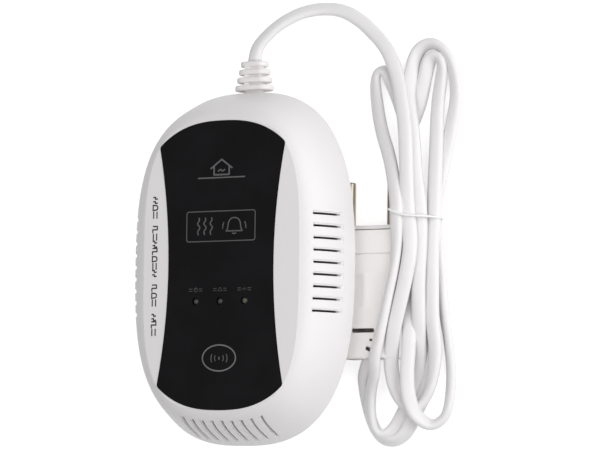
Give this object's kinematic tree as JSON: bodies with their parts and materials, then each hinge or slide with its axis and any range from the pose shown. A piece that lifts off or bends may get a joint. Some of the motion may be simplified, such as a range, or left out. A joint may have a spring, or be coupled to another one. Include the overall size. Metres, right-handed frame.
{
  "type": "mains gas alarm",
  "caption": "Oval mains gas alarm with a waisted black fascia, indicator lamps, a push-to-test key, side vents, and a flat lead tied in a hank that ends in a flat mains plug.",
  "frame": {"origin": "middle of the flat back face, on the plane the alarm lies or hangs on", "axes": "+Z out of the front, +Y along the height towards the end the lead leaves, +X across the width"},
  "size_m": [0.1441, 0.1896, 0.0427],
  "materials": {
    "white_shell": "satin",
    "black_fascia": "gloss",
    "white_rubber": "matt",
    "white_cord": "satin",
    "white_plug": "satin",
    "white_tie": "satin",
    "pin_metal": "polished",
    "screw_steel": "brushed",
    "board": "satin",
    "lamp_lens": "gloss",
    "spacer": "matt",
    "key_black": "gloss",
    "switch_black": "matt",
    "plunger_cream": "matt",
    "sensor_resin": "matt",
    "sensor_steel": "brushed",
    "sounder_black": "matt",
    "disc_brass": "satin",
    "ferrite": "matt",
    "copper_coil": "satin",
    "capacitor_sleeve": "gloss",
    "chip_black": "matt",
    "fuse_glass": "clear",
    "terminal_green": "matt",
    "wire_brown": "satin",
    "wire_blue": "satin"
  },
  "bodies": {
    "case": {"front_cover": "white_shell", "rear_cover": "white_shell", "fascia_panel": "black_fascia", "case_screws": "screw_steel", "circuit_board": "board", "board_screws": "screw_steel", "power_lamp": "lamp_lens", "alarm_lamp": "lamp_lens", "fault_lamp": "lamp_lens", "lamp_spacers": "spacer", "switch_body": "switch_black", "sensor_base": "sensor_resin", "sensor_can": "sensor_steel", "sensor_mesh": "sensor_steel", "sounder_case": "sounder_black", "sounder_disc": "disc_brass", "transformer_core": "ferrite", "transformer_coil": "copper_coil", "smoothing_capacitor": "capacitor_sleeve", "voltage_regulator": "chip_black", "mains_fuse": "fuse_glass", "fuse_clips": "screw_steel", "microcontroller": "chip_black", "wire_terminal": "terminal_green", "terminal_screws": "screw_steel", "live_wire": "wire_brown", "neutral_wire": "wire_blue", "strain_relief": "white_rubber", "cord_lead": "white_cord", "cord_hank": "white_cord", "cord_tail": "white_cord", "cable_tie": "white_tie", "plug_body": "white_plug", "plug_insert": "white_plug", "plug_pins": "pin_metal"},
    "test_key": {"test_button": "key_black"},
    "plunger": {"switch_plunger": "plunger_cream"}
  },
  "joints": [
    {"name": "test_press", "type": "slide", "parent": "case", "child": "test_key", "axis": [0, 0, -1], "range_m": [0, 0.0005], "stiffness_N_per_m": 1500, "springref_m": -0.0004},
    {"name": "plunger_press", "type": "slide", "parent": "case", "child": "plunger", "axis": [0, 0, -1], "range_m": [0, 0.00025]}
  ],
  "couplings": [
    {"joint": "plunger_press", "follows": "test_press", "ratio": 0.5}
  ]
}
